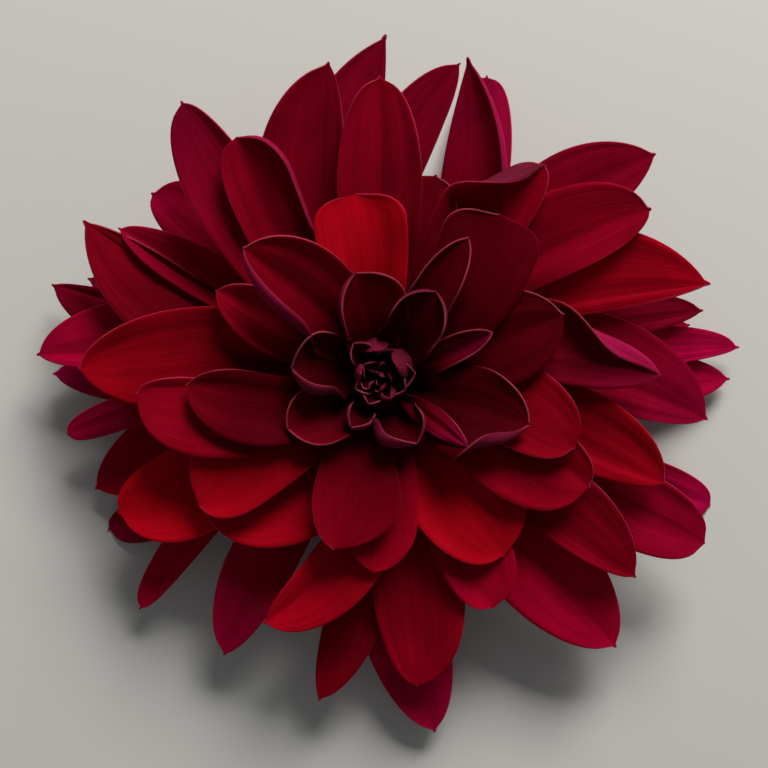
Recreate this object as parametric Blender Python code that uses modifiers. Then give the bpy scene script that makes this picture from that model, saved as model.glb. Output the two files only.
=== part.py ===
"""Dahlia flower: one cut double bloom that lies face up on its short stem and its back petals.

Blender 4.5, metres, +Z up. The named sizes below are in millimetres and degrees. Azimuths run
counter-clockwise from +X, seen from above, and heights are over the surface the bloom lies on.
"""

import math

import bmesh
import bpy
import numpy as np

MM = 0.001
GAP = 0.3                 # left between pieces that touch

# Stem and calyx
STEM_RADIUS = 3.2
CALYX_BOTTOM = 8.6        # height where the stem ends and the calyx begins
CALYX_TOP = 14.0
CALYX_RADIUS = 8.6
BRACTS = 8
BRACT_REACH = 20.0
BRACT_WIDTH = 6.0
BRACT_THICKNESS = 0.9

# Core: the receptacle with the packed claws of the florets that grow from it
CORE_RADIUS = 13.0
CORE_TOP = 25.0
CORE_SIDES = 26

# Bud of unopened florets at the centre
BUD_RADIUS = 3.4
BUD_HEIGHT = 7.5
BUD_RIBS = 8              # florets folded round the bud, seen as spiral ribs
BUD_RELIEF = 0.12         # height of the ribs as a share of the bud's radius

# Ray florets
PETAL_THICKNESS = 0.7
CLAW_WIDTH = 3.0          # width of a floret where it leaves the dome
CHANNEL = 50              # slope of a floret's margins beside the dome
ROWS = 5                  # faces along a floret
COLUMNS = 4               # faces across a floret
NARROW = 15               # a floret no broader than this has half as many

FLORET = {
    "up": 0,              # height of the root over its whorl's
    "rise": 8,            # how much steeper the root is than the straight line to the tip
    "fall": -4,           # how much steeper the tip is than that line
    "lean": 0,            # the tip's azimuth less the root's
    "roll": 0,            # turn about the centre line at the tip, left edge up
    "keel": 8,            # slope beside the centre line
    "left": 20,           # slope at the left margin, looking from the root to the tip
    "right": 20,          # slope at the right margin
    "point": 0.6,         # 0.5 rounds the tip, 1 points it
    "broadest": 0.62,     # where the blade is broadest, as a share of its length
    "skew": 0,            # how much broader the left half is than the right one
    "turn": 1.5,          # 1 straightens a leaning floret's outer part, 2 bends it on evenly
}


def floret(azimuth, reach, height, width, **traits):
    """One ray floret: where its tip is, how broad it is and what sets it apart."""
    return dict(traits, azimuth=azimuth, reach=reach, height=height, width=width)


# Each whorl has its root's radius and height in the core, then its florets.
WHORLS = {
    "back": (
        dict(root_radius=7.6, root_height=16.0, rise=14, fall=0, left=14, right=14),
        [
            floret(1, 73, 3, 13, up=0.1),
            floret(6, 75, 5, 9, point=0.5, up=0.7, skew=0.5),
            floret(11, 66, 2, 10, up=-0.8),
            floret(13, 68, 10, 10, lean=-6, up=1.7, skew=0.3),
            floret(71, 69, 0, 14, lean=20, point=0.35, up=-0.8),
            floret(89, 69, 26, 16, lean=-24, point=0.9, up=-0.6, skew=0.5),
            floret(140, 60, 18, 16, point=0.4, up=0.8, skew=-0.3),
            floret(160, 65, 3, 10, up=-0.8),
            floret(163, 71, 7, 12, up=0.8, skew=0.5),
            floret(178, 68, 5, 12, up=-0.9),
            floret(189, 65, 10, 7, lean=12, turn=2, point=0.35, broadest=0.8, up=1.9),
            floret(200, 63, 5, 16, lean=16, up=0.8),
            floret(208, 65, 0, 12, point=0.35, up=-0.8, skew=0.3),
            floret(223, 68, 7, 8, lean=14, point=0.4, up=0.6, skew=-0.3),
            floret(259, 66, 10, 12, lean=-10, up=1.2, skew=0.3),
            floret(279, 73, 5, 18, lean=12, up=-0.8),
            floret(340, 74, 0, 10, point=0.35, broadest=0.8, up=-0.6),
        ],
    ),
    "outer": (
        dict(root_radius=7.4, root_height=18.4, rise=8, fall=-2, left=16, right=16),
        [
            floret(17, 68, 26, 18, lean=-20, point=0.8, up=0.6, skew=0.6),
            floret(40, 71, 25, 17, lean=-12, point=0.7, broadest=0.7, up=-0.9, skew=0.3),
            floret(75, 65, 36, 17, rise=-6, fall=12, lean=28, turn=1.8, point=0.9, broadest=0.55,
                   up=-0.3, skew=-0.2, right=90),
            floret(76, 64, 34, 13, lean=-26, up=0.6, skew=0.4),
            floret(99, 63, 34, 18, rise=0, fall=6, lean=-22, up=-1, skew=0.5),
            floret(125, 67, 33, 15, lean=-5, point=0.5, up=0.7, skew=0.3),
            floret(149, 61, 20, 11, lean=4, up=-1.6, left=45, right=45),
            floret(151, 68, 19, 17, lean=-12, point=0.8, up=-0.2, skew=0.45, right=50),
            floret(175, 70, 14, 14, lean=14, broadest=0.7, up=-0.9, skew=-0.4),
            floret(206, 59, 16, 19, point=0.45, broadest=0.7, skew=0.25),
            floret(240, 64, 10, 14, lean=4, up=-0.4, skew=-0.3),
            floret(312, 72, 12, 21, up=-1),
            floret(323, 64, 20, 15, up=1.4, skew=0.4),
            floret(334, 73, 16, 16, point=0.4, broadest=0.75, up=-0.1),
            floret(354, 66, 19, 19, lean=-24, up=-1.1, skew=0.4),
        ],
    ),
    "middle": (
        dict(root_radius=7.0, root_height=20.2, rise=12, fall=-4),
        [
            floret(2, 55, 28, 14, lean=-28, up=0.2, left=40),
            floret(33, 63, 30, 17, lean=-16, point=0.5, broadest=0.7, up=-0.1, skew=0.35),
            floret(53, 53, 34, 18, lean=4, point=0.45, broadest=0.75, up=-0.3, skew=0.3, left=50),
            floret(90, 59, 37, 17, point=0.45, up=0.2),
            floret(120, 55, 35, 17, rise=4, fall=4, lean=-14, point=0.35, broadest=0.8, up=-0.2,
                   skew=-0.3, right=10),
            floret(177, 60, 23, 20, lean=24, up=-0.4, skew=0.15, left=5),
            floret(182, 48, 27, 16, lean=-12, turn=1.2, point=0.45, broadest=0.7, up=0.9,
                   skew=0.5, left=10, right=10),
            floret(214, 43, 21, 17, lean=-30, skew=0.5),
            floret(244, 53, 20, 14, lean=-32, turn=1.8, up=0.8, skew=0.3),
            floret(277, 62, 13, 19, point=0.5, up=-1, skew=0.3),
            floret(297, 50, 20, 15, point=0.4, broadest=0.75, up=0.2, skew=0.2, left=10),
            floret(341, 60, 23, 16, lean=-12, skew=0.3),
        ],
    ),
    "inner": (
        dict(root_radius=6.4, root_height=21.8, rise=20, fall=-8, left=30, right=30),
        [
            floret(21, 38, 34, 19, up=-0.5, left=5, right=5),
            floret(55, 40, 35, 20, lean=22, point=0.25, broadest=0.85, up=0.2, right=10),
            floret(75, 42, 33, 14, point=0.4, broadest=0.7, up=-0.6, left=10),
            floret(97, 37, 35, 19, point=0.3, broadest=0.85),
            floret(150, 37, 29, 12, up=-0.2),
            floret(180, 38, 29, 15, lean=-20, up=1.1, skew=0.2, left=20),
            floret(214, 43, 25, 18, lean=-4, point=0.5, broadest=0.75, up=0.6, skew=-0.3, right=5),
            floret(254, 33.5, 29, 18, lean=8, point=0.6, broadest=0.6, up=1.3, skew=0.3, left=15),
            floret(268, 37, 26, 14, lean=-12, broadest=0.7, up=0.3, left=20, right=0),
            floret(306, 42, 23, 22, lean=10, point=0.45, up=-0.7, skew=0.2, left=10, right=10),
            floret(334, 46, 26, 19, lean=-12, point=0.4, up=0.5, skew=-0.2, right=10),
            floret(342, 40, 30, 17, lean=-26, point=0.45, up=0.6, skew=0.1),
        ],
    ),
    "heart": (
        dict(root_radius=5.8, root_height=23.2, rise=28, fall=-4, left=65, right=65),
        [
            floret(25, 24, 34, 7, up=-0.4, left=50, right=60),
            floret(59, 21, 35, 16, point=0.4, broadest=0.7, up=0.8, left=60, right=60),
            floret(59, 33, 36.5, 12, up=0.5, right=60),
            floret(102, 22, 36, 17, lean=4, point=0.45, broadest=0.7, up=0.4, left=65, right=65),
            floret(135, 37, 38, 20, lean=16, up=-0.6, left=90, right=15),
            floret(169, 17.5, 33, 18, lean=10, point=0.45, broadest=0.7, up=0.4, left=85,
                   right=50),
            floret(205, 20, 30, 15, point=0.5, up=-0.3, skew=0.15, left=70, right=50),
            floret(236, 10, 31, 9, point=0.35, broadest=0.75, up=0.4, left=75, right=75),
            floret(302, 13.5, 31, 17, point=0.4, broadest=0.7, up=0.2, skew=-0.25, left=65,
                   right=75),
            floret(345, 30, 33, 20, lean=-6, up=0.4, skew=-0.2, left=10, right=40),
            floret(325, 21, 34, 5, lean=-4, point=0.9, broadest=0.5, up=1.2, left=10, right=10),
        ],
    ),
}


def smooth(t):
    """Ease from 0 to 1."""
    t = np.clip(t, 0.0, 1.0)
    return t * t * (3 - 2 * t)


def heading_vector(heading, slope):
    """Unit vector with this heading and this slope over the horizontal, in radians."""
    flat = np.cos(slope)
    return np.array([flat * np.cos(heading), flat * np.sin(heading), np.sin(slope)])


def centre_line(f, u):
    """Points and directions of a floret's centre line, and its heading, at shares u of it."""
    root_heading = math.radians(f["azimuth"] - f["lean"])
    azimuth = math.radians(f["azimuth"])
    root = np.array([f["root_radius"] * math.cos(root_heading),
                     f["root_radius"] * math.sin(root_heading), f["root_height"] + f["up"]])
    tip = np.array([f["reach"] * math.cos(azimuth), f["reach"] * math.sin(azimuth), f["height"]])
    chord = tip - root
    turn = f["turn"] * math.remainder(math.atan2(chord[1], chord[0]) - root_heading, math.pi)
    third = np.linalg.norm(chord) / 3
    slope = math.atan2(chord[2], math.hypot(chord[0], chord[1]))
    start = root + third * heading_vector(root_heading, slope + math.radians(f["rise"]))
    end = tip - third * heading_vector(root_heading + turn, slope + math.radians(f["fall"]))
    u = u[..., None]
    points = ((1 - u) ** 3 * root + 3 * u * (1 - u) ** 2 * start
              + 3 * u * u * (1 - u) * end + u ** 3 * tip)
    along = ((1 - u) ** 2 * (start - root) + 2 * u * (1 - u) * (end - start)
             + u * u * (tip - end))
    along /= np.linalg.norm(along, axis=-1, keepdims=True)
    return points, along, root_heading + turn * u[..., 0]


def half_width(f, u):
    """Half the blade's width: a narrow claw, the broadest place and the closing tip."""
    claw = CLAW_WIDTH / f["width"]
    short = np.clip(1 - u / f["broadest"], 0, 1)
    opening = claw + (1 - claw) * (1 - short ** 2) * smooth(u / 0.15)
    t = np.clip((u - f["broadest"]) / (1 - f["broadest"]), 0, 1)
    closing = np.maximum(1 - t * t, 0) ** f["point"]
    return f["width"] / 2 * np.where(u < f["broadest"], opening, np.maximum(closing, 0.14))


def across(f, u, v):
    """How far a point at v (-1 right margin, 1 left margin) lies beside and over the line."""
    steps = 6
    blade = smooth(u / 0.4)
    margin = np.where(v > 0, f["left"], f["right"]) * smooth(u / 0.55)
    half = half_width(f, u) * (1 + np.sign(v) * f["skew"] * smooth(u / 0.5))
    part = np.abs(v) * half / steps
    beside = np.zeros_like(part)
    over = np.zeros_like(part)
    for step in range(steps):
        reach = np.abs(v) * (step + 0.5) / steps
        slope = f["keel"] + (margin - f["keel"]) * reach ** 1.5
        slope = np.radians(CHANNEL * (1 - blade) + slope * blade)
        beside += part * np.cos(slope)
        over += part * np.sin(slope)
    return np.sign(v) * beside, over


def petal_points(f, u, v):
    """Points of a floret's middle surface in millimetres, for arrays u and v."""
    points, along, heading = centre_line(f, u)
    side = np.stack([-np.sin(heading), np.cos(heading), np.zeros_like(heading)], axis=-1)
    normal = np.cross(along, side)
    roll = np.radians(f["roll"]) * smooth(u / 0.8)
    roll = roll[..., None]
    rolled_side = side * np.cos(roll) + normal * np.sin(roll)
    rolled_normal = normal * np.cos(roll) - side * np.sin(roll)
    beside, over = across(f, u, v)
    points = points + rolled_side * beside[..., None] + rolled_normal * over[..., None]
    points[..., 2] = np.maximum(points[..., 2], PETAL_THICKNESS / 2)
    return points


def all_florets():
    """Every floret with its whorl's traits and its own."""
    return [dict(FLORET, **dict(whorl, **own)) for whorl, rows in WHORLS.values() for own in rows]


def add_object(name, mesh, collection):
    """Put a mesh in the scene as an object of this name."""
    made = bpy.data.objects.new(name, mesh)
    collection.objects.link(made)
    return made


def add_modifier(target, kind, **settings):
    """Add a modifier and set its values."""
    modifier = target.modifiers.new(kind.title(), kind)
    for key, value in settings.items():
        setattr(modifier, key, value)
    return modifier


def apply_modifiers(target):
    """Replace an object's mesh by its evaluated mesh."""
    evaluated = target.evaluated_get(bpy.context.evaluated_depsgraph_get())
    mesh = bpy.data.meshes.new_from_object(evaluated)
    target.modifiers.clear()
    old, target.data = target.data, mesh
    bpy.data.meshes.remove(old)


def turned(name, profile, sides, collection):
    """A solid of revolution: a profile of (radius, height) down its outer side, turned."""
    mesh = bpy.data.meshes.new(name)
    points = [(radius * MM, 0, height * MM) for radius, height in profile]
    mesh.from_pydata(points, [(i, i + 1) for i in range(len(points) - 1)], [])
    solid = add_object(name, mesh, collection)
    add_modifier(solid, "SCREW", steps=sides, render_steps=sides, use_merge_vertices=True,
                 merge_threshold=0.0001, use_normal_calculate=True)
    apply_modifiers(solid)
    return solid


def blade(name, f, thickness, collection):
    """One floret or bract: a bent grid, split alike on both faces, and thickened."""
    mesh = bpy.data.meshes.new(name)
    grid = bmesh.new()
    columns = COLUMNS if f["width"] > NARROW else COLUMNS // 2
    bmesh.ops.create_grid(grid, x_segments=ROWS, y_segments=columns, size=1.0)
    flat = np.array([vert.co[:2] for vert in grid.verts])
    bent = petal_points(f, (flat[:, 0] + 1) / 2, flat[:, 1]) * MM
    for vert, point in zip(grid.verts, bent):
        vert.co = point
    bmesh.ops.triangulate(grid, faces=grid.faces[:])
    grid.to_mesh(mesh)
    grid.free()
    made = add_object(name, mesh, collection)
    add_modifier(made, "SOLIDIFY", thickness=thickness * MM, offset=0.0,
                 use_even_offset=True, use_quality_normals=True)


def join_all(base, collection):
    """Unite a base with every object of a collection, and remove the collection's objects."""
    add_modifier(base, "BOOLEAN", operation="UNION", solver="EXACT", operand_type="COLLECTION",
                 collection=collection)
    apply_modifiers(base)
    for made in list(collection.objects):
        bpy.data.objects.remove(made)


def volume(faces):
    """Signed volume of a closed set of triangles."""
    return sum(f.verts[0].co.dot(f.verts[1].co.cross(f.verts[2].co)) for f in faces) / 6


def keep_largest_body(target):
    """Drop loose scraps and fill sealed hollows: both are bodies apart from the largest."""
    body = bmesh.new()
    body.from_mesh(target.data)
    bmesh.ops.triangulate(body, faces=body.faces[:])
    islands = []
    left = set(body.faces)
    while left:
        island = set()
        border = [left.pop()]
        while border:
            face = border.pop()
            island.add(face)
            near = {other for edge in face.edges for other in edge.link_faces} & left
            left -= near
            border.extend(near)
        islands.append(island)
    islands.sort(key=volume)
    scraps = [face for island in islands[:-1] for face in island]
    bmesh.ops.delete(body, geom=scraps, context="FACES")
    body.to_mesh(target.data)
    body.free()


def material(name, colour, roughness):
    """A plain Principled material."""
    made = bpy.data.materials.new(name)
    made.use_nodes = True
    shader = made.node_tree.nodes["Principled BSDF"]
    shader.inputs["Base Color"].default_value = (*colour, 1.0)
    shader.inputs["Roughness"].default_value = roughness
    shader.inputs["Metallic"].default_value = 0.0
    return made


def finish(target, surface):
    """Give a finished sub-part its material and its shading."""
    target.data.materials.clear()
    target.data.materials.append(surface)
    target.data.shade_smooth()
    target.data.set_sharp_from_angle(angle=math.radians(40))


def make_ray_florets(parts, helpers):
    """The receptacle dome with every ray floret sunk into it."""
    seat = CALYX_TOP + GAP
    profile = [(0, CORE_TOP), (BUD_RADIUS + 0.8, CORE_TOP), (9.0, CORE_TOP - 2.0), (11.8, 19.8),
               (CORE_RADIUS, 17.0), (CORE_RADIUS, 15.2), (CALYX_RADIUS, seat), (0, seat)]
    bloom = turned("ray_florets", profile, CORE_SIDES, parts)
    for index, f in enumerate(all_florets()):
        blade(f"floret_{index:02d}", f, PETAL_THICKNESS, helpers)
    join_all(bloom, helpers)
    keep_largest_body(bloom)
    finish(bloom, material("petal_crimson", (0.22, 0.004, 0.016), 0.55))


def make_bud(parts):
    """The closed florets at the centre: an egg with spiral ribs, seated on the core."""
    mesh = bpy.data.meshes.new("centre_bud")
    egg = bmesh.new()
    bmesh.ops.create_uvsphere(egg, u_segments=4 * BUD_RIBS, v_segments=10, radius=1.0)
    for vert in egg.verts:
        turn = math.atan2(vert.co.y, vert.co.x)
        height = (vert.co.z + 1) / 2
        rib = 1 + BUD_RELIEF * math.cos(BUD_RIBS * turn - 5 * height) * math.sin(math.pi * height)
        swell = BUD_RADIUS / (1 + BUD_RELIEF) * (1.15 - 0.35 * height) * rib
        vert.co.x *= swell * MM
        vert.co.y *= swell * MM
        vert.co.z = (CORE_TOP + GAP + BUD_HEIGHT * height) * MM
    egg.to_mesh(mesh)
    egg.free()
    finish(add_object("centre_bud", mesh, parts), material("bud_maroon", (0.05, 0.002, 0.01), 0.5))


def make_calyx(parts, helpers):
    """The green cup under the core, with its ring of reflexed leafy bracts."""
    profile = [(0, CALYX_TOP), (CALYX_RADIUS, CALYX_TOP), (CALYX_RADIUS - 0.4, CALYX_TOP - 1.2),
               (6.0, 10.6), (4.0, CALYX_BOTTOM + 0.6), (STEM_RADIUS + 0.4, CALYX_BOTTOM),
               (0, CALYX_BOTTOM)]
    calyx = turned("calyx", profile, CORE_SIDES, parts)
    for index in range(BRACTS):
        azimuth = 360 * (index + 0.5) / BRACTS
        bract = dict(FLORET, azimuth=azimuth, reach=BRACT_REACH - 2 * (index % 2), height=7.0,
                     width=BRACT_WIDTH, root_radius=5.4, root_height=11.6, rise=25, fall=-25)
        blade(f"bract_{index}", bract, BRACT_THICKNESS, helpers)
    join_all(calyx, helpers)
    keep_largest_body(calyx)
    finish(calyx, material("calyx_green", (0.10, 0.17, 0.04), 0.6))


def make_stem(parts, helpers):
    """The short cut stem, whose flat end the bloom stands on."""
    line = bpy.data.curves.new("stem_line", "CURVE")
    line.dimensions = "3D"
    line.bevel_depth = STEM_RADIUS * MM
    line.bevel_resolution = 4
    line.use_fill_caps = True
    spline = line.splines.new("POLY")
    spline.points.add(1)
    spline.points[0].co = (0, 0, 0, 1)
    spline.points[1].co = (0, 0, (CALYX_BOTTOM - GAP) * MM, 1)
    tube = add_object("stem_tube", line, helpers)
    mesh = bpy.data.meshes.new_from_object(
        tube.evaluated_get(bpy.context.evaluated_depsgraph_get()))
    bpy.data.objects.remove(tube)
    whole = bmesh.new()
    whole.from_mesh(mesh)
    bmesh.ops.remove_doubles(whole, verts=whole.verts[:], dist=0.00001)
    whole.to_mesh(mesh)
    whole.free()
    finish(add_object("stem", mesh, parts), material("stem_green", (0.11, 0.16, 0.05), 0.6))


def centre_on_origin(parts):
    """Put the middle of the footprint over the origin, with the lowest point at height 0."""
    corners = [vert.co for made in parts.objects for vert in made.data.vertices]
    low = [min(co[axis] for co in corners) for axis in range(3)]
    high = [max(co[axis] for co in corners) for axis in range(3)]
    shift = (-(low[0] + high[0]) / 2, -(low[1] + high[1]) / 2, -low[2])
    for made in parts.objects:
        made.location = shift


def main():
    for old in list(bpy.data.objects):
        bpy.data.objects.remove(old)
    parts = bpy.data.collections.new("dahlia_flower")
    helpers = bpy.data.collections.new("helpers")
    for collection in (parts, helpers):
        bpy.context.scene.collection.children.link(collection)
    make_ray_florets(parts, helpers)
    make_bud(parts)
    make_calyx(parts, helpers)
    make_stem(parts, helpers)
    centre_on_origin(parts)


if __name__ == "__main__":
    main()
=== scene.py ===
"""Dahlia flower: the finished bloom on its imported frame.

Sizes of the flower are in millimetres and degrees, as in the part's source, and those of the
camera and the light in metres. +Z is up. Azimuths run counter-clockwise from +X, seen from above,
round the axis of the stem.
"""

import math
import random

import bmesh
import bpy
import numpy as np
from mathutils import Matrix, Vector


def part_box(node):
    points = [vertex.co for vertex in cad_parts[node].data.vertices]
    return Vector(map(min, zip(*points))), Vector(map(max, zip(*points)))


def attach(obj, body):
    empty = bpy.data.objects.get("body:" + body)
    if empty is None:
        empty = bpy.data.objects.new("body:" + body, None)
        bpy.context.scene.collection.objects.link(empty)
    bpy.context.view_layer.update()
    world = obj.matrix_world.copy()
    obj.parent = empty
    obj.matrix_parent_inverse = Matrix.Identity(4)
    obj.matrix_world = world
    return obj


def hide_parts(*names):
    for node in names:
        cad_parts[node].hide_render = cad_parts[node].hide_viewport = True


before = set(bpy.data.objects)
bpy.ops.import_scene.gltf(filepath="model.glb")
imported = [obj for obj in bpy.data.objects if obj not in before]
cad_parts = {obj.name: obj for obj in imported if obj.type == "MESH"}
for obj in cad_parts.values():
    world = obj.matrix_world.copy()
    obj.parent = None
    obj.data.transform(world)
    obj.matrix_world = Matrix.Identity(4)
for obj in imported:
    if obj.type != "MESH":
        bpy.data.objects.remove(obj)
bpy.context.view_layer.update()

MM = 0.001                # one millimetre in the frame's metres
GAP = 0.3                 # between the stem, the calyx and the core

# The stem, the calyx and the core, as in the part's source
STEM_RADIUS = 3.2
CALYX_BOTTOM = 8.6        # height where the stem ends and the calyx begins
CALYX_TOP = 14.0
CALYX_RADIUS = 8.6
BRACTS = 8
BRACT_REACH = 20.0
BRACT_WIDTH = 6.0
BRACT_STEP = 2            # how much shorter every second bract is
CORE_RADIUS = 13.0
CORE_TOP = 25.0

# The florets, as in the part's source
PETAL_THICKNESS = 0.7
CLAW_WIDTH = 3.0          # width of a floret where it leaves the dome
CHANNEL = 50              # slope of a floret's margins beside the dome

# The finished florets
BLADE = 0.34              # thickness of a real floret
BUD_BLADE = 0.3           # thickness of one in the bud
BRACT_BLADE = 0.6         # thickness of a bract
ROWS = 42                 # faces along a floret
COLUMNS = 22              # faces across a floret
CROWD = 1.5               # how much closer the rows stand at the tip, 1 for evenly
MUCRO = 0.05              # half-width of the small sharp point on a tip, as a share
MUCRO_LENGTH = 0.035      # and its share of the blade outside the broadest place
STEPS = 14                # of the sum that bends a cross-section
SIDES = 64                # of the round pieces

# Shares of a floret's length over which its form changes
OPENING = 0.15            # its claw widens
FLATTENING = 0.4          # its channel opens into the blade
SPREADING = 0.55          # its margins come to their slope
SKEWING = 0.5             # its halves come to differ
ROLLING = 0.8             # it turns about its centre line
CURLING = 0.35            # a margin rolls over
RELIEF_FROM = 0.15        # where its ripples and ridges begin
RELIEF_SPAN = 0.3         # and the share over which they rise

# Ripples and ridges
TIP_CALM = 0.6            # how much lower the ripples are at the tip
MARGIN_PHASE = 0.25       # how far each margin's ripples are shifted, as a share of one
FINE_RIDGES = 3.1         # finer ridges across half a blade
FINE_SHARE = 0.3          # their height, as a share of the ridges' height

# What is drawn for each floret
RIPPLES = (1.0, 2.4)      # ripples along a margin
RIDGES = (0.8, 1.4)       # ridges across half a blade
ROLL_DRAW = 4             # turn about the centre line, to either side
DARK_DRAW = 0.1           # share that it is darker

FLORET = {
    "up": 0,              # height of the root over its whorl's
    "rise": 8,            # how much steeper the root is than the straight line to the tip
    "fall": -4,           # how much steeper the tip is than that line
    "lean": 0,            # the tip's azimuth less the root's
    "roll": 0,            # turn about the centre line at the tip, left edge up
    "keel": 11,           # slope beside the centre line
    "left": 20,           # slope at the left margin, looking from the root to the tip
    "right": 20,          # slope at the right margin
    "curl_left": 0,       # how far the left margin rolls over
    "curl_right": 0,      # how far the right margin rolls over
    "curl_from": 0.3,     # share of the length where the rolling begins
    "curl_at": 0.45,      # share of the half-width where the rolling begins
    "curl_span": 0.5,     # share of the half-width that it takes
    "point": 0.6,         # 0.5 rounds the tip, 1 points it
    "broadest": 0.62,     # where the blade is broadest, as a share of its length
    "skew": 0,            # how much broader the left half is than the right one
    "turn": 1.5,          # 1 straightens a leaning floret's outer part, 2 bends it on evenly
    "wave": 0.5,          # height of the ripples along the margins
    "pleat": 0.2,         # height of the ridges along the blade
    "warm": 0.0,          # painted light: how far the crimson turns to a brighter scarlet, standing in for light that comes through
    "pink": 0.0,          # how far its outer face turns to magenta, and its reverse stays light
    "dark": 0.0,          # how far it turns to maroon: partly its own darker tissue, partly painted shade where it lies in shadow
    "deep": 0.45,         # share of the length over which its dark base fades: painted shade under the florets above, with the claw's own darker tissue
}


def floret(azimuth, reach, height, width, **traits):
    """One ray floret: where its tip is, how broad it is and what sets it apart."""
    return dict(traits, azimuth=azimuth, reach=reach, height=height, width=width)


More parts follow.
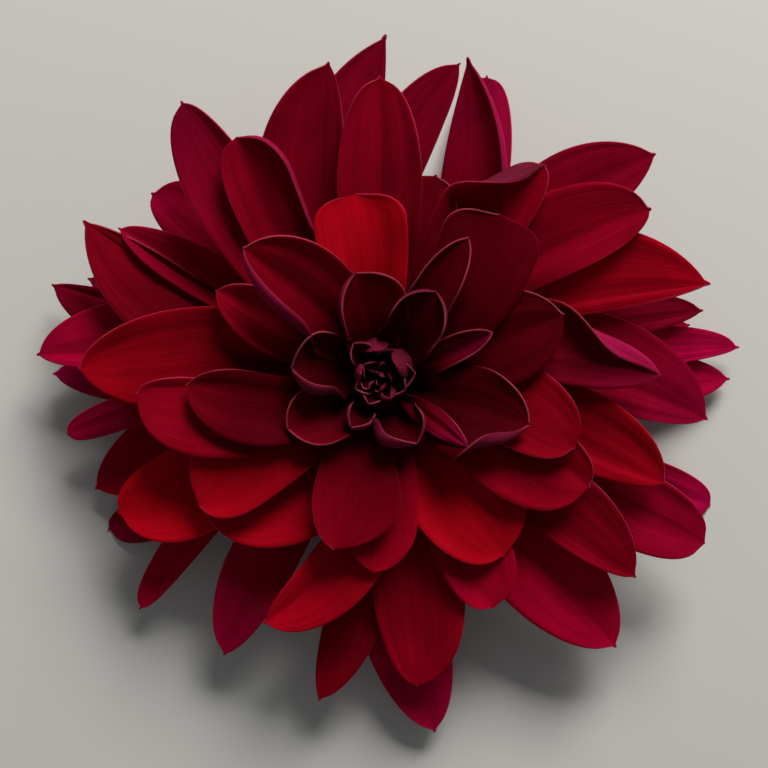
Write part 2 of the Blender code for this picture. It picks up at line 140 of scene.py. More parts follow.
# Each whorl has its root's radius and height in the core, then its florets.
WHORLS = {
    "back": (
        dict(root_radius=7.6, root_height=16.0, rise=14, fall=0, left=14, right=14),
        [
            floret(1, 73, 3, 13, up=0.1, pink=0.5),
            floret(6, 75, 5, 9, point=0.5, up=0.7, skew=0.5, pink=0.7),
            floret(11, 66, 2, 10, up=-0.8, pink=0.4),
            floret(13, 68, 10, 10, lean=-6, up=1.7, skew=0.3, pink=0.4, dark=0.65),
            floret(71, 69, 0, 14, lean=20, point=0.35, up=-0.8, pink=0.7, dark=0.4),
            floret(89, 69, 26, 16, lean=-24, point=0.9, up=-0.6, skew=0.5, pink=0.4, dark=0.6),
            floret(140, 60, 18, 16, point=0.4, up=0.8, skew=-0.3, pink=0.5, dark=0.2),
            floret(160, 65, 3, 10, up=-0.8, pink=0.4, dark=0.6),
            floret(163, 71, 7, 12, up=0.8, skew=0.5, pink=0.4, dark=0.5),
            floret(178, 68, 5, 12, up=-0.9, pink=1.0),
            floret(189, 65, 10, 7, lean=12, turn=2, point=0.35, broadest=0.8, up=1.9, pink=0.5),
            floret(200, 63, 5, 16, lean=16, up=0.8, pink=0.2, dark=0.2),
            floret(208, 65, 0, 12, point=0.35, up=-0.8, skew=0.3, pink=0.4, dark=0.2),
            floret(223, 68, 7, 8, lean=14, point=0.4, up=0.6, skew=-0.3, warm=0.5, pink=0.3),
            floret(259, 66, 10, 12, lean=-10, up=1.2, skew=0.3, dark=0.3),
            floret(279, 73, 5, 18, lean=12, up=-0.8, warm=0.6, pink=0.6),
            floret(340, 74, 0, 10, point=0.35, broadest=0.8, up=-0.6, pink=0.7),
        ],
    ),
    "outer": (
        dict(root_radius=7.4, root_height=18.4, rise=8, fall=-2, left=16, right=16),
        [
            floret(17, 68, 26, 18, lean=-20, point=0.8, up=0.6, skew=0.6, warm=0.3, dark=0.3),
            floret(40, 71, 25, 17, lean=-12, point=0.7, broadest=0.7, up=-0.9, skew=0.3,
                   pink=0.3, dark=0.5),
            floret(75, 65, 36, 17, rise=-6, fall=12, lean=28, turn=1.8, point=0.9, broadest=0.55,
                   up=-0.3, skew=-0.2, curl_right=110, pink=0.6, dark=0.4),
            floret(76, 64, 34, 13, lean=-26, up=0.6, skew=0.4, pink=0.4, dark=0.5),
            floret(99, 63, 34, 18, rise=0, fall=6, lean=-22, up=-1, skew=0.5, pink=0.2, dark=0.5),
            floret(125, 67, 33, 15, lean=-5, point=0.5, up=0.7, skew=0.3, pink=0.5, dark=0.5),
            floret(149, 61, 20, 11, lean=4, up=-1.6, left=45, right=45, pink=0.3, dark=0.1),
            floret(151, 68, 19, 17, lean=-12, point=0.8, up=-0.2, skew=0.45, right=5,
                   curl_right=60, deep=0.9, dark=0.55),
            floret(175, 70, 14, 14, lean=14, broadest=0.7, up=-0.9, skew=-0.4, pink=0.4),
            floret(206, 59, 16, 19, point=0.45, broadest=0.7, skew=0.25, deep=0.25, warm=1.0),
            floret(240, 64, 10, 14, lean=4, up=-0.4, skew=-0.3, pink=0.5, dark=0.2),
            floret(312, 72, 12, 21, up=-1, pink=0.3),
            floret(323, 64, 20, 15, up=1.4, skew=0.4, dark=0.5),
            floret(334, 73, 16, 16, point=0.4, broadest=0.75, up=-0.1, pink=0.3, dark=0.2),
            floret(354, 66, 19, 19, lean=-24, up=-1.1, skew=0.4, pink=0.5, dark=0.45),
        ],
    ),
    "middle": (
        dict(root_radius=7.0, root_height=20.2, rise=12, fall=-4, deep=0.8),
        [
            floret(2, 55, 28, 17, lean=-28, up=0.2, skew=0.18, left=5, curl_left=165,
                   curl_from=0.53, curl_at=0.42, curl_span=0.25, pink=0.6, dark=0.7),
            floret(33, 63, 30, 17, lean=-16, point=0.5, broadest=0.7, up=-0.1, skew=0.35,
                   pink=0.1, dark=0.3),
            floret(53, 53, 34, 18, lean=4, point=0.45, broadest=0.75, up=-0.3, skew=0.55,
                   left=30, curl_left=170, curl_from=0.67, curl_at=0.42, curl_span=0.3, pink=-2,
                   dark=0.2),
            floret(90, 59, 37, 17, point=0.45, up=0.2, pink=0.1, dark=0.4),
            floret(120, 55, 35, 17, rise=4, fall=4, lean=-14, point=0.35, broadest=0.8, up=-0.2,
                   skew=-0.3, right=-10, curl_right=120, curl_from=0.25, pink=0.1, dark=0.25),
            floret(177, 60, 23, 20, lean=24, up=-0.4, skew=0.15, left=5, deep=1.1, warm=0.7,
                   dark=0.3),
            floret(182, 48, 27, 16, lean=-12, turn=1.2, point=0.45, broadest=0.7, up=0.9,
                   skew=0.5, left=10, right=10, dark=0.35),
            floret(214, 43, 21, 17, lean=-30, skew=0.5, warm=0.6),
            floret(244, 53, 20, 14, lean=-32, turn=1.8, up=0.8, skew=0.3, warm=0.5),
            floret(277, 62, 13, 19, point=0.5, up=-1, skew=0.3, dark=0.1),
            floret(297, 50, 20, 15, point=0.4, broadest=0.75, up=0.2, skew=0.2, left=10, pink=0.1),
            floret(341, 60, 23, 16, lean=-12, skew=0.3, deep=1.1, warm=0.5, dark=0.3),
        ],
    ),
    "inner": (
        dict(root_radius=6.4, root_height=21.8, rise=20, fall=-8, left=30, right=30, deep=0.9),
        [
            floret(21, 38, 34, 19, up=-0.5, left=5, right=5, dark=0.75),
            floret(55, 40, 35, 20, lean=22, point=0.25, broadest=0.85, up=0.2, right=10, dark=0.7),
            floret(75, 42, 33, 14, point=0.4, broadest=0.7, up=-0.6, left=10, dark=0.6),
            floret(97, 37, 35, 19, point=0.3, broadest=0.85, deep=0.7, warm=1.0),
            floret(150, 37, 29, 12, up=-0.2, dark=0.2),
            floret(180, 38, 29, 15, lean=-20, up=1.1, skew=0.2, left=20, deep=1.3, dark=0.6),
            floret(214, 43, 25, 18, lean=-4, point=0.5, broadest=0.75, up=0.6, skew=-0.3,
                   right=5, warm=0.8, dark=0.2),
            floret(254, 33.5, 29, 18, lean=8, point=0.6, broadest=0.6, up=1.3, skew=0.3, left=15,
                   deep=1.1, dark=0.3),
            floret(268, 37, 26, 14, lean=-12, broadest=0.7, up=0.3, left=20, right=0),
            floret(306, 42, 23, 22, lean=10, point=0.45, up=-0.7, skew=0.2, left=10, right=10,
                   deep=0.6, warm=1.0, dark=0.2),
            floret(334, 46, 26, 19, lean=-12, point=0.4, up=0.5, skew=-0.2, right=10, deep=0.5,
                   dark=0.25),
            floret(342, 40, 30, 17, lean=-26, point=0.45, up=0.6, skew=0.1, left=5, warm=0.3,
                   dark=0.35),
        ],
    ),
    "heart": (
        dict(root_radius=5.8, root_height=23.2, rise=28, fall=-4, left=50, right=50,
             curl_left=40, curl_right=40, wave=0.3, deep=1),
        [
            floret(25, 24, 34, 7, up=-0.4, left=50, right=60, curl_left=20, curl_right=30,
                   pink=1.0, dark=0.6),
            floret(59, 21, 35, 16, point=0.4, broadest=0.7, up=0.8, left=60, right=60,
                   curl_from=0.2, dark=0.85),
            floret(59, 33, 36.5, 12, up=0.5, right=60, dark=0.7),
            floret(102, 22, 36, 17, lean=4, point=0.45, broadest=0.7, up=0.4, left=65, right=12,
                   curl_left=50, curl_right=20, curl_from=0.2, dark=0.75),
            floret(135, 37, 38, 20, lean=16, up=-1.2, left=40, right=15, curl_left=130,
                   curl_right=10, curl_from=0.2, dark=0.5),
            floret(169, 17.5, 33, 18, lean=10, point=0.45, broadest=0.7, up=1, left=75, right=50,
                   curl_left=90, curl_right=20, curl_from=0.15, dark=0.85),
            floret(205, 20, 30, 15, point=0.5, up=-0.3, skew=0.15, left=65, right=50,
                   curl_left=10, curl_right=10, dark=0.65),
            floret(236, 10, 31, 9, point=0.35, broadest=0.75, up=0.4, left=75, right=75,
                   curl_left=50, curl_right=40, curl_from=0.15, dark=0.9),
            floret(302, 13.5, 31, 17, point=0.4, broadest=0.7, up=0.2, skew=-0.25, left=65,
                   right=75, curl_left=40, curl_right=80, curl_from=0.15, dark=0.9),
            floret(345, 30, 33, 20, lean=-6, up=0.4, skew=-0.2, left=10, right=20,
                   curl_right=165, curl_from=0.48, dark=0.85),
            floret(325, 21, 34, 5, lean=-4, point=0.9, broadest=0.5, up=3.2, left=-20, right=-20,
                   pink=1.0, dark=0.45),
        ],
    ),
}

# The florets of the bud, round a centre that lies a little off the axis
BUD_CENTRE = (-0.3, 1.6)
BUD_SHARED = dict(root_radius=4.4, root_height=24.0, rise=10, fall=30, left=70, right=70,
                  wave=0.15, pleat=0.05, point=0.5, dark=1.0, deep=1.0)

# The larger ones: open cups, and blades that bend in over the centre
BUD_FLORETS = (
    floret(127, 8.0, 32.5, 6.5, point=0.3, broadest=0.8, rise=30, fall=-10, left=80, right=80),
    floret(97, 5.0, 32.5, 6.0, root_radius=7.4, rise=-10, fall=65, left=50, right=50, dark=0.8),
    floret(30, 4.0, 33.0, 7.0, root_radius=7.4, rise=-10, fall=70, left=50, right=50),
    floret(172, 3.4, 32.5, 4.5, root_radius=4.6, fall=50, left=40, right=40, dark=0.6),
    floret(208, 5.0, 31.0, 5.5, root_radius=3.6, rise=20, fall=0),
    floret(250, 5.6, 30.5, 6.0, root_radius=3.8, rise=20, fall=0),
    floret(298, 4.8, 32.0, 6.0, root_radius=3.4, left=100, right=100, curl_left=70, curl_right=70),
    floret(335, 5.8, 31.0, 7.0, root_radius=4.6, rise=20, fall=10),
    floret(5, 7.2, 31.5, 7.0, root_radius=5.0, rise=30, fall=0),
    floret(62, 6.0, 31.0, 6.0, root_radius=4.4, rise=20, fall=0),
    floret(140, 3.6, 31.5, 5.0, root_radius=3.2, rise=20, fall=0),
)

# Rings of the smallest ones: how many, how far out, how high and how broad
BUD_RINGS = ((5, 2.0, 31.2, 3.0), (3, 1.0, 31.0, 2.2))

# What is drawn for each of those
BUD_TURN = 30             # azimuth, to either side
BUD_REACH = (0.6, 1.5)    # its tip's distance, as a share of the ring's radius
BUD_RISE = (-1.8, 0.6)    # height over the ring's
BUD_WIDTH = (0.6, 1.3)    # share of the ring's width
BUD_FALL = (0, 70)
BUD_LEAN = 50             # to either side

# Colours, linear
CRIMSON = (0.36, 0.0010, 0.013, 1)
# Painted light: a brighter scarlet standing in for light coming through a thin floret
SCARLET_GLOW = (0.50, 0.0020, 0.010, 1)
MAGENTA = (0.36, 0.0020, 0.062, 1)
# Maroon is partly the florets' own darker tissue and partly painted shade on florets in the bloom's
# shadow
MAROON_AND_SHADE = (0.040, 0.0006, 0.0025, 1)
REVERSE = (0.34, 0.005, 0.056, 1)
REVERSE_DARK = (0.09, 0.009, 0.018, 1)
# The rims: the paler edge of the blade, with a painted highlight where the edge catches the light
RIM_AND_HIGHLIGHT = (0.36, 0.007, 0.034, 1)
DARK_RIM_AND_HIGHLIGHT = (0.24, 0.036, 0.056, 1)
CORE_DARK = (0.03, 0.001, 0.004, 1)
CORE_LIGHT = (0.07, 0.002, 0.010, 1)
LEAF_LIGHT = (0.13, 0.20, 0.045, 1)
LEAF_DARK = (0.07, 0.13, 0.03, 1)
STEM_LIGHT = (0.15, 0.20, 0.06, 1)
STEM_DARK = (0.08, 0.12, 0.035, 1)
BLUSH = (0.16, 0.05, 0.03, 1)
PITH = (0.48, 0.50, 0.30, 1)
FLOOR = (0.60, 0.59, 0.56, 1)

PITH_RADIUS = 2.9
PITH_CORE = 0.9           # share of that radius inside which it has its full colour
BLUSH_SHARE = 0.35        # of the blush, where it is deepest
REVERSE_SHARE = 0.85      # how much of a floret's darkness shows on its reverse
PINK_FROM = 0.35          # share of the length where the face begins to turn to magenta
BASE_SHADE = 0.15         # brightness at a floret's root: painted shade under the florets above, with the claw's own darker tissue
RIM_FADE = (0.35, 0.85)   # shares of the length between which the rim's painted highlight comes to its brightness
RIM_BASE = 0.1            # brightness of the rim before that: painted shade near the root
NOISE_RANGE = (0.3, 0.7)  # values between which most of a noise lies
VEINS = (2.0, 38.0)       # scale of the noise along and across a floret
VEIN_SHADES = (0.86, 1.08)
VEIN_ROUGHNESS = (0.66, 0.5)
SKIN_SHARE = 0.15         # height of the skin's fine grain, as a share of the veins'
MOTTLE_SHADES = (0.86, 1.1)

# Scales of the other noises, per metre but for the core's, which is over its own box
MOTTLE_SCALE = 90.0
SKIN_SCALE = 2600.0
STREAKS = (900.0, 900.0)  # along X and Y, so they run up the stem
BLUSH_SCALE = 160.0
CORE_SCALE = 400.0

# What gives the petals their velvet
VELVET = {
    "Specular Tint": (1.0, 0.15, 0.4, 1),
    "Sheen Weight": 0.02,
    "Sheen Roughness": 0.4,
    "Sheen Tint": (1.0, 0.05, 0.30, 1),
    "Subsurface Weight": 0.35,
    "Subsurface Radius": (1.0, 0.12, 0.2),
    "Subsurface Scale": 0.0015,
}

# The camera, in metres
CAMERA_HEIGHT = 0.400
CAMERA_OFFSET = (0.0008, 0.0002)    # from the axis of the stem
VIEW_LEVEL = 0.020
VIEW_WIDTH = 0.1536       # of the frame, at that level
SENSOR = 36.0             # width in millimetres

# The light, in metres and watts
KEY_PLACE = (0.25, 0.76, 0.61)
KEY_AIM = (0, 0, 0.02)
KEY_SIZE = 0.45
KEY_POWER = 12.5
KEY_COLOUR = (1.0, 0.985, 0.96)
ROOM_COLOUR = (0.94, 0.97, 1.0, 1)
ROOM_STRENGTH = 0.14
FLOOR_SIZE = 4.0


def smooth(t):
    """Ease from 0 to 1."""
    t = np.clip(t, 0.0, 1.0)
    return t * t * (3 - 2 * t)


def heading_vector(heading, slope):
    """Unit vector with this heading and this slope over the horizontal, in radians."""
    flat = np.cos(slope)
    return np.array([flat * np.cos(heading), flat * np.sin(heading), np.sin(slope)])


def centre_line(f, u):
    """Points and directions of a floret's centre line, and its heading, at shares u of it."""
    root_heading = math.radians(f["azimuth"] - f["lean"])
    azimuth = math.radians(f["azimuth"])
    root = np.array([f["root_radius"] * math.cos(root_heading),
                     f["root_radius"] * math.sin(root_heading), f["root_height"] + f["up"]])
    tip = np.array([f["reach"] * math.cos(azimuth), f["reach"] * math.sin(azimuth), f["height"]])
    chord = tip - root
    turn = f["turn"] * math.remainder(math.atan2(chord[1], chord[0]) - root_heading, math.pi)
    third = np.linalg.norm(chord) / 3
    slope = math.atan2(chord[2], math.hypot(chord[0], chord[1]))
    start = root + third * heading_vector(root_heading, slope + math.radians(f["rise"]))
    end = tip - third * heading_vector(root_heading + turn, slope + math.radians(f["fall"]))
    u = u[..., None]
    points = ((1 - u) ** 3 * root + 3 * u * (1 - u) ** 2 * start
              + 3 * u * u * (1 - u) * end + u ** 3 * tip)
    along = ((1 - u) ** 2 * (start - root) + 2 * u * (1 - u) * (end - start)
             + u * u * (tip - end))
    along /= np.linalg.norm(along, axis=-1, keepdims=True)
    return points, along, root_heading + turn * u[..., 0]


def half_width(f, u):
    """Half the blade's width: a narrow claw, the broadest place and the closing tip."""
    claw = CLAW_WIDTH / f["width"]
    short = np.clip(1 - u / f["broadest"], 0, 1)
    opening = claw + (1 - claw) * (1 - short ** 2) * smooth(u / OPENING)
    t = np.clip((u - f["broadest"]) / (1 - f["broadest"]), 0, 1)
    blunt = np.maximum(1 - (t / (1 - MUCRO_LENGTH)) ** 2, 0) ** f["point"]
    sharp = MUCRO * np.minimum((1 - t) / MUCRO_LENGTH, 1) ** 0.7
    return f["width"] / 2 * np.where(u < f["broadest"], opening, np.maximum(blunt, sharp))


def across(f, u, v):
    """How far a point at v (-1 right margin, 1 left margin) lies beside and over the line."""
    blade = smooth(u / FLATTENING)
    margin = np.where(v > 0, f["left"], f["right"]) * smooth(u / SPREADING)
    curl = np.where(v > 0, f["curl_left"], f["curl_right"]) * smooth((u - f["curl_from"]) / CURLING)
    half = half_width(f, u) * (1 + np.sign(v) * f["skew"] * smooth(u / SKEWING))
    part = np.abs(v) * half / STEPS
    beside = np.zeros_like(part)
    over = np.zeros_like(part)
    for step in range(STEPS):
        reach = np.abs(v) * (step + 0.5) / STEPS
        slope = f["keel"] + (margin - f["keel"]) * reach ** 1.5
        slope = slope + curl * smooth((reach - f["curl_at"]) / f["curl_span"])
        slope = np.radians(CHANNEL * (1 - blade) + slope * blade)
        beside += part * np.cos(slope)
        over += part * np.sin(slope)
    return np.sign(v) * beside, over


def relief(f, u, v, shape):
    """Height of the ripples at the margins and of the ridges along the blade."""
    ripples, phase, ridges, place = shape
    blade = smooth((u - RELIEF_FROM) / RELIEF_SPAN)
    calmer = 1 - TIP_CALM * smooth((u - 0.8) / 0.2)
    fade = 1 - smooth((u - 0.85) / 0.15)
    wave = np.sin(2 * np.pi * (ripples * u + phase + MARGIN_PHASE * np.sign(v)))
    pleat = np.cos(2 * np.pi * (ridges * v + place))
    pleat = pleat + FINE_SHARE * np.cos(2 * np.pi * FINE_RIDGES * (v + place))
    return blade * (f["wave"] * np.abs(v) ** 3 * wave * calmer + f["pleat"] * pleat * fade)


def petal_points(f, u, v, shape):
    """Points of a floret's middle surface in millimetres, for arrays u and v, over the floor."""
    points, along, heading = centre_line(f, u)
    side = np.stack([-np.sin(heading), np.cos(heading), np.zeros_like(heading)], axis=-1)
    normal = np.cross(along, side)
    roll = np.radians(f["roll"]) * smooth(u / ROLLING)
    roll = roll[..., None]
    rolled_side = side * np.cos(roll) + normal * np.sin(roll)
    rolled_normal = normal * np.cos(roll) - side * np.sin(roll)
    beside, over = across(f, u, v)
    over = over + relief(f, u, v, shape)
    points = points + rolled_side * beside[..., None] + rolled_normal * over[..., None]
    points[..., 2] = np.maximum(points[..., 2], PETAL_THICKNESS / 2)
    return points


def axis_of_stem():
    """Where the flower's axis stands in the frame, in metres."""
    low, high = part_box("stem")
    return np.array([(low[0] + high[0]) / 2, (low[1] + high[1]) / 2, 0.0])


AXIS = axis_of_stem()


def linked(name, data):
    """A new object of the scene round its data."""
    made = bpy.data.objects.new(name, data)
    bpy.context.collection.objects.link(made)
    return made


def stand_for(piece, node):
    """Tie a piece to the frame, in place of a node, which is hidden."""
    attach(piece, "root")
    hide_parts(node)


def add_blade(f, shape, tone, centre, store):
    """Add one floret's grid of faces to the lists of a mesh."""
    verts, faces, uvs, tones = store
    spread = 1 - (1 - np.linspace(0, 1, ROWS + 1)) ** CROWD
    u, v = np.meshgrid(spread, np.linspace(-1, 1, COLUMNS + 1), indexing="ij")
    points = (petal_points(f, u, v, shape) + np.array([*centre, 0.0])) * MM + AXIS
    first = len(verts)
    verts.extend(points.reshape(-1, 3).tolist())
    tones.extend([tone] * u.size)
    uvs.extend(np.stack([u, (v + 1) / 2], axis=-1).reshape(-1, 2).tolist())
    wide = COLUMNS + 1
    for row in range(ROWS):
        for column in range(COLUMNS):
            a = first + row * wide + column
            faces.append((a, a + wide, a + wide + 1, a + 1))


def blades_object(name, florets, materials, thickness, centre=(0.0, 0.0)):
    """A mesh of thin blades round a centre: the second material is behind, the last on the rims."""
    draw = random.Random(name)
    store = ([], [], [], [])
    for f in florets:
        shape = (draw.uniform(*RIPPLES), draw.random(), draw.uniform(*RIDGES), draw.random())
        f["roll"] += draw.uniform(-ROLL_DRAW, ROLL_DRAW)
        tone = (f["warm"], f["pink"], min(1.0, f["dark"] + draw.uniform(0, DARK_DRAW)), f["deep"])
        add_blade(f, shape, tone, centre, store)
    verts, faces, uvs, tones = store
    mesh = bpy.data.meshes.new(name)
    mesh.from_pydata(verts, [], faces)
    layer = mesh.uv_layers.new(name="blade")
    for loop in mesh.loops:
        layer.data[loop.index].uv = uvs[loop.vertex_index]
    tone_layer = mesh.attributes.new("tone", "FLOAT_COLOR", "POINT")
    tone_layer.data.foreach_set("color", np.array(tones).ravel())
    mesh.shade_smooth()
    for made in materials:
        mesh.materials.append(made)
    piece = linked(name, mesh)
    solid = piece.modifiers.new("Blade", "SOLIDIFY")
    solid.thickness = thickness * MM
    solid.offset = 0
    solid.material_offset = 1
    solid.material_offset_rim = len(materials) - 1
    return piece


def build_florets(materials):
    """Every whorl of the ray florets, each as one piece."""
    for name, (traits, rows) in WHORLS.items():
        florets = [dict(FLORET, **dict(traits, **own)) for own in rows]
        piece = blades_object(f"florets_{name}", florets, materials, BLADE)
        stand_for(piece, "ray_florets")


def build_bud(materials):
    """The unopened florets at the centre, and the smallest ones folded between them."""
    draw = random.Random("bud")
    florets = [dict(FLORET, **dict(BUD_SHARED, **own)) for own in BUD_FLORETS]
    for count, radius, height, width in BUD_RINGS:
        for index in range(count):
            azimuth = 360 * index / count + draw.uniform(-BUD_TURN, BUD_TURN)
            reach = radius * draw.uniform(*BUD_REACH)
            top = height + draw.uniform(*BUD_RISE)
            breadth = width * draw.uniform(*BUD_WIDTH)
            own = floret(azimuth, reach, top, breadth, root_radius=radius,
                         fall=draw.uniform(*BUD_FALL), lean=draw.uniform(-BUD_LEAN, BUD_LEAN))
            florets.append(dict(FLORET, **dict(BUD_SHARED, **own)))
    piece = blades_object("bud_florets", florets, materials, BUD_BLADE, BUD_CENTRE)
    stand_for(piece, "centre_bud")


def ring_of(body, radius, height):
    """The vertices of one ring of a round piece, or its one vertex on the axis."""
    if radius == 0:
        return [body.verts.new((AXIS[0], AXIS[1], height * MM))]
    ring = []
    for side in range(SIDES):
        angle = 2 * math.pi * side / SIDES
        place = (AXIS[0] + radius * MM * math.cos(angle),
                 AXIS[1] + radius * MM * math.sin(angle), height * MM)
        ring.append(body.verts.new(place))
    return ring


def turned(name, profile, surface):
    """A solid of revolution round the stem's axis: (radius, height) down its outer side."""
    mesh = bpy.data.meshes.new(name)
    body = bmesh.new()
    rings = [ring_of(body, radius, height) for radius, height in profile]
    for upper, lower in zip(rings, rings[1:]):
        for side in range(SIDES):
            after = (side + 1) % SIDES
            corners = [upper[side % len(upper)], lower[side % len(lower)],
                       lower[after % len(lower)], upper[after % len(upper)]]
            corners = list(dict.fromkeys(corners))
            if len(corners) > 2:
                body.faces.new(corners)
    bmesh.ops.recalc_face_normals(body, faces=body.faces[:])
    body.to_mesh(mesh)
    body.free()
    mesh.shade_smooth()
    mesh.materials.append(surface)
    return linked(name, mesh)


def build_core(surface):
    """The receptacle, seen dark between the claws of the florets."""
    seat = CALYX_TOP + GAP
    profile = [(0, CORE_TOP), (4.2, CORE_TOP), (9.0, CORE_TOP - 2.0), (11.8, 19.8),
               (CORE_RADIUS, 17.0), (CORE_RADIUS, 15.2), (CALYX_RADIUS, seat), (0, seat)]
    stand_for(turned("receptacle", profile, surface), "ray_florets")


def build_calyx(surface):
    """The green cup under the bloom, with its ring of leafy bracts that bend down."""
    profile = [(0, CALYX_TOP), (CALYX_RADIUS, CALYX_TOP), (CALYX_RADIUS, CALYX_TOP - 0.5),
               (CALYX_RADIUS - 0.4, CALYX_TOP - 1.2), (7.4, 12.0), (6.0, 10.6), (4.8, 9.7),
               (4.0, CALYX_BOTTOM + 0.6), (STEM_RADIUS + 0.4, CALYX_BOTTOM), (0, CALYX_BOTTOM)]
    stand_for(turned("calyx_cup", profile, surface), "calyx")
    bracts = []
    for index in range(BRACTS):
        reach = BRACT_REACH - BRACT_STEP * (index % 2)
        own = floret(360 * (index + 0.5) / BRACTS, reach, 7.0, BRACT_WIDTH, root_radius=5.4,
                     root_height=11.6, rise=25, fall=-25, point=0.8, wave=0.3)
        bracts.append(dict(FLORET, **own))
    piece = blades_object("calyx_bracts", bracts, [surface, surface], BRACT_BLADE)
    stand_for(piece, "calyx")


def build_stem(surface):
    """The cut stub of stem, slightly swollen where it meets the calyx."""
    top = CALYX_BOTTOM - GAP
    profile = [(0, top), (STEM_RADIUS, top), (STEM_RADIUS - 0.1, 6.5), (STEM_RADIUS - 0.2, 4.0),
               (STEM_RADIUS - 0.1, 1.0), (STEM_RADIUS, 0.2), (STEM_RADIUS - 0.2, 0.0),
               (2.0, 0.0), (1.6, 0.3), (1.0, 0.5), (0, 0.5)]
    stand_for(turned("cut_stem", profile, surface), "stem")


def new_material(name, roughness, specular):
    """A Principled material, its node tree and its shader."""
    made = bpy.data.materials.new(name)
    made.use_nodes = True
    shader = made.node_tree.nodes["Principled BSDF"]
    shader.inputs["Roughness"].default_value = roughness
    shader.inputs["Specular IOR Level"].default_value = specular
    return made, made.node_tree, shader


def node(tree, kind, **settings):
    """Add a node and set its values."""
    made = tree.nodes.new(kind)
    for key, value in settings.items():
        setattr(made, key, value)
    return made


def feed(tree, socket, value):
    """Give an input a plain value, or link it to another node's output."""
    if isinstance(value, (int, float, tuple)):
        socket.default_value = value
    else:
        tree.links.new(value, socket)


def math_node(tree, operation, first, second=0.5):
    """A math node on two values, each of them a socket or a number."""
    made = node(tree, "ShaderNodeMath", operation=operation)
    feed(tree, made.inputs[0], first)
    feed(tree, made.inputs[1], second)
    return made.outputs[0]


def mix_colour(tree, share, first, second, blend="MIX"):
    """Mix two colours by a share, each of them a socket or a plain value."""
    made = node(tree, "ShaderNodeMix", data_type="RGBA", blend_type=blend)
    feed(tree, made.inputs[0], share)
    feed(tree, made.inputs[6], first)
    feed(tree, made.inputs[7], second)
    return made.outputs[2]


def ramp_value(tree, value, low, high, out_low=0.0, out_high=1.0):
    """Map a value smoothly from one range to another."""
    made = node(tree, "ShaderNodeMapRange", interpolation_type="SMOOTHSTEP")
    feed(tree, made.inputs["Value"], value)
    feed(tree, made.inputs["From Min"], low)
    feed(tree, made.inputs["From Max"], high)
    feed(tree, made.inputs["To Min"], out_low)
    feed(tree, made.inputs["To Max"], out_high)
    return made.outputs["Result"]


def split(tree, vector):
    """The three parts of a vector."""
    parts = node(tree, "ShaderNodeSeparateXYZ")
    tree.links.new(vector, parts.inputs[0])
    return parts.outputs


def noise_value(tree, place, scale, detail=2.0):
    """Noise at a place, or over the piece's own box where none is given."""
    noise = node(tree, "ShaderNodeTexNoise")
    noise.inputs["Scale"].default_value = scale
    noise.inputs["Detail"].default_value = detail
    if place is not None:
        tree.links.new(place, noise.inputs["Vector"])
    return noise.outputs["Fac"]


def streaked_noise(tree, place, along, width):
    """Noise with its own scale along the first axis and across it, for veins and streaks."""
    scale = node(tree, "ShaderNodeMapping")
    scale.inputs["Scale"].default_value = (along, width, 1.0)
    tree.links.new(place, scale.inputs["Vector"])
    return noise_value(tree, scale.outputs["Vector"], 1.0, 4.0)


def add_bump(tree, shader, height, strength, distance):
    """Let a height tilt the surface's shading, its full range as deep as the distance."""
    bump = node(tree, "ShaderNodeBump")
    bump.inputs["Strength"].default_value = strength
    bump.inputs["Distance"].default_value = distance
    tree.links.new(height, bump.inputs["Height"])
    tree.links.new(bump.outputs["Normal"], shader.inputs["Normal"])


def tissue_colour(tree, side, tones, length):
    """Colour of a floret's face, reverse or rim: its reverse is darker where pink is below 0."""
    warm, pink, dark = tones[0], tones[1], tones[2]
    # The rim's paler colour is partly its edge tissue, partly a painted highlight
    if side == "rim":
        return mix_colour(tree, dark, RIM_AND_HIGHLIGHT, DARK_RIM_AND_HIGHLIGHT)
    if side == "reverse":
        # Painted shade: the reverse darkens with the floret's darkness, which is partly shade
        share = math_node(tree, "SUBTRACT", REVERSE_SHARE, pink)
        return mix_colour(tree, math_node(tree, "MULTIPLY", dark, share), REVERSE, REVERSE_DARK)
    # Painted light: the scarlet glow of light coming through the floret
    colour = mix_colour(tree, warm, CRIMSON, SCARLET_GLOW)
    outer = ramp_value(tree, length, PINK_FROM, 1.0)
    colour = mix_colour(tree, math_node(tree, "MULTIPLY", pink, outer), colour, MAGENTA)
    # Painted shade: the maroon mix stands partly for shadow, partly for darker tissue
    return mix_colour(tree, dark, colour, MAROON_AND_SHADE)


def base_shade(tree, side, length, deep):
    """Brightness along a floret, dim at its root from painted shade and the claw's darker tissue;
    its rim stays dim further out.
    """
    if side == "rim":
        return ramp_value(tree, length, *RIM_FADE, RIM_BASE, 1.0)
    place_in_base = math_node(tree, "DIVIDE", length, deep)
    return ramp_value(tree, place_in_base, 0.0, 1.0, BASE_SHADE, 1.0)


def shaded(tree, colour, shade):
    """A colour multiplied by a brightness."""
    grey = node(tree, "ShaderNodeCombineXYZ")
    for socket in grey.inputs:
        tree.links.new(shade, socket)
    return mix_colour(tree, 1.0, colour, grey.outputs[0], "MULTIPLY")


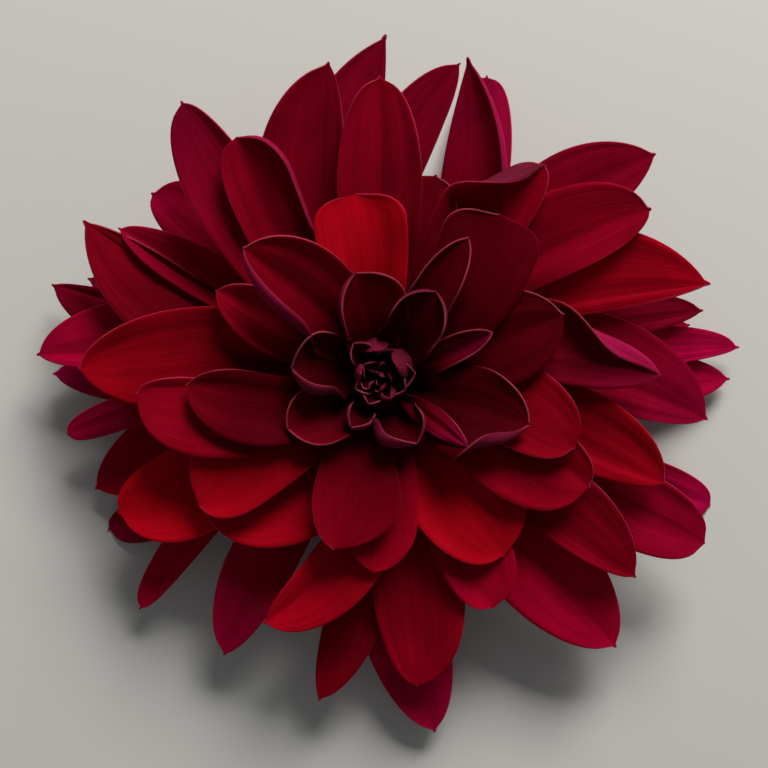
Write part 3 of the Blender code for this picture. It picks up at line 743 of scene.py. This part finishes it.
def petal_surface(name, side):
    """Velvety petal tissue, for the face, the reverse or the rim, with veins and a darker base,
    partly painted shade.
    """
    made, tree, shader = new_material(name, roughness=0.6, specular=0.025)
    uv = node(tree, "ShaderNodeUVMap", uv_map="blade").outputs["UV"]
    length = split(tree, uv)["X"]
    tone = node(tree, "ShaderNodeAttribute", attribute_name="tone")
    place = node(tree, "ShaderNodeNewGeometry").outputs["Position"]
    colour = tissue_colour(tree, side, split(tree, tone.outputs["Vector"]), length)
    base = base_shade(tree, side, length, tone.outputs["Alpha"])
    veins = streaked_noise(tree, uv, *VEINS)
    veined = ramp_value(tree, veins, *NOISE_RANGE, *VEIN_SHADES)
    mottle = noise_value(tree, place, MOTTLE_SCALE, 3.0)
    mottled = ramp_value(tree, mottle, *NOISE_RANGE, *MOTTLE_SHADES)
    shade = math_node(tree, "MULTIPLY", math_node(tree, "MULTIPLY", base, veined), mottled)
    tree.links.new(shaded(tree, colour, shade), shader.inputs["Base Color"])
    rough = ramp_value(tree, veins, *NOISE_RANGE, *VEIN_ROUGHNESS)
    tree.links.new(rough, shader.inputs["Roughness"])
    for key, value in VELVET.items():
        shader.inputs[key].default_value = value
    fine = math_node(tree, "MULTIPLY", noise_value(tree, place, SKIN_SCALE), SKIN_SHARE)
    add_bump(tree, shader, math_node(tree, "ADD", fine, veins), strength=0.35, distance=0.4 * MM)
    return made


def core_surface():
    """Dark maroon tissue deep between the claws."""
    made, tree, shader = new_material("core_maroon", roughness=0.7, specular=0.05)
    colour = mix_colour(tree, noise_value(tree, None, CORE_SCALE), CORE_DARK, CORE_LIGHT)
    tree.links.new(colour, shader.inputs["Base Color"])
    return made


def distance_from_axis(tree, place):
    """How far a place is from the stem's axis."""
    parts = split(tree, place)
    squares = []
    for axis in (0, 1):
        beside = math_node(tree, "SUBTRACT", parts[axis], float(AXIS[axis]))
        squares.append(math_node(tree, "POWER", beside, 2.0))
    return math_node(tree, "SQRT", math_node(tree, "ADD", *squares))


def green_surface(name, light, dark, pith=None):
    """Green tissue with fine streaks and a blush; with a pith, paler inside that radius."""
    made, tree, shader = new_material(name, roughness=0.5, specular=0.3)
    place = node(tree, "ShaderNodeNewGeometry").outputs["Position"]
    streaks = streaked_noise(tree, place, *STREAKS)
    colour = mix_colour(tree, ramp_value(tree, streaks, 0.35, 0.65), dark, light)
    patches = noise_value(tree, place, BLUSH_SCALE, 3.0)
    colour = mix_colour(tree, ramp_value(tree, patches, 0.4, 0.8, 0.0, BLUSH_SHARE), colour, BLUSH)
    if pith is not None:
        radius = distance_from_axis(tree, place)
        inside = ramp_value(tree, radius, pith * PITH_CORE * MM, pith * MM, 1.0, 0.0)
        colour = mix_colour(tree, inside, colour, PITH)
    tree.links.new(colour, shader.inputs["Base Color"])
    add_bump(tree, shader, streaks, strength=0.3, distance=0.3 * MM)
    return made


def build_stage():
    """The plain pale floor, which isn't part of the flower."""
    bpy.ops.mesh.primitive_plane_add(size=FLOOR_SIZE)
    floor = bpy.context.object
    floor.name = "floor"
    made, _, shader = new_material("floor", roughness=0.85, specular=0.1)
    shader.inputs["Base Color"].default_value = FLOOR
    floor.data.materials.append(made)


def build_camera():
    """Straight above the bloom, with the photograph's framing."""
    data = bpy.data.cameras.new("camera")
    data.sensor_width = SENSOR
    data.lens = SENSOR * (CAMERA_HEIGHT - VIEW_LEVEL) / VIEW_WIDTH
    data.clip_start = 0.01
    camera = linked("camera", data)
    camera.location = (AXIS[0] + CAMERA_OFFSET[0], AXIS[1] + CAMERA_OFFSET[1], CAMERA_HEIGHT)
    bpy.context.scene.camera = camera


def build_light():
    """A large soft light beyond the top of the picture, and a dim room."""
    world = bpy.data.worlds.new("studio")
    bpy.context.scene.world = world
    world.use_nodes = True
    background = world.node_tree.nodes["Background"]
    background.inputs["Color"].default_value = ROOM_COLOUR
    background.inputs["Strength"].default_value = ROOM_STRENGTH
    data = bpy.data.lights.new("key", "AREA")
    data.size = KEY_SIZE
    data.energy = KEY_POWER
    data.color = KEY_COLOUR
    key = linked("key", data)
    key.location = KEY_PLACE
    key.rotation_euler = (Vector(KEY_AIM) - Vector(KEY_PLACE)).to_track_quat("-Z", "Y").to_euler()
    bpy.context.scene.view_settings.view_transform = "Standard"


def main():
    """Build every piece, the floor, the camera and the light."""
    materials = [petal_surface(f"petal_{side}", side) for side in ("face", "reverse", "rim")]
    build_florets(materials)
    build_core(core_surface())
    build_bud(materials)
    build_calyx(green_surface("calyx_leaf", LEAF_LIGHT, LEAF_DARK))
    build_stem(green_surface("stem_skin", STEM_LIGHT, STEM_DARK, PITH_RADIUS))
    build_stage()
    build_camera()
    build_light()


main()
